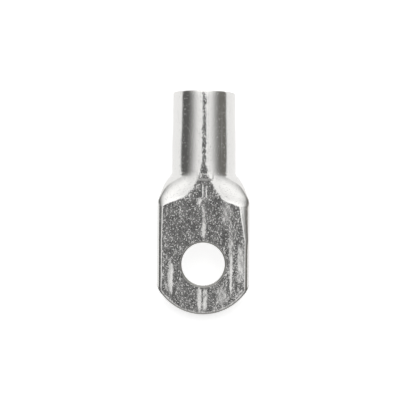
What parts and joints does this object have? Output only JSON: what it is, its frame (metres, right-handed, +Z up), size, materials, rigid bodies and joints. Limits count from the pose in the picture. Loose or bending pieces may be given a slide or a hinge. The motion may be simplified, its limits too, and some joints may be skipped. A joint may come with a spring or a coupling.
{
  "type": "cable lug",
  "caption": "Tubular copper cable lug, tin-plated: round crimp barrel with an open mouth, pressed flat into a palm with a stud hole and an arc-shaped tip.",
  "frame": {"origin": "centre of the stud hole in the contact face of the palm", "axes": "+Y from the palm towards the barrel's mouth, +Z up, +X across the palm; the lug lies loose, contact face up, on the tip of its palm and the knee of its shoulder, so its palm and barrel are turned 18.84 degrees about X"},
  "size_m": [0.018, 0.045, 0.0163],
  "materials": {
    "tin_plate": "satin"
  },
  "bodies": {
    "root": {"lug": "tin_plate"}
  },
  "joints": []
}
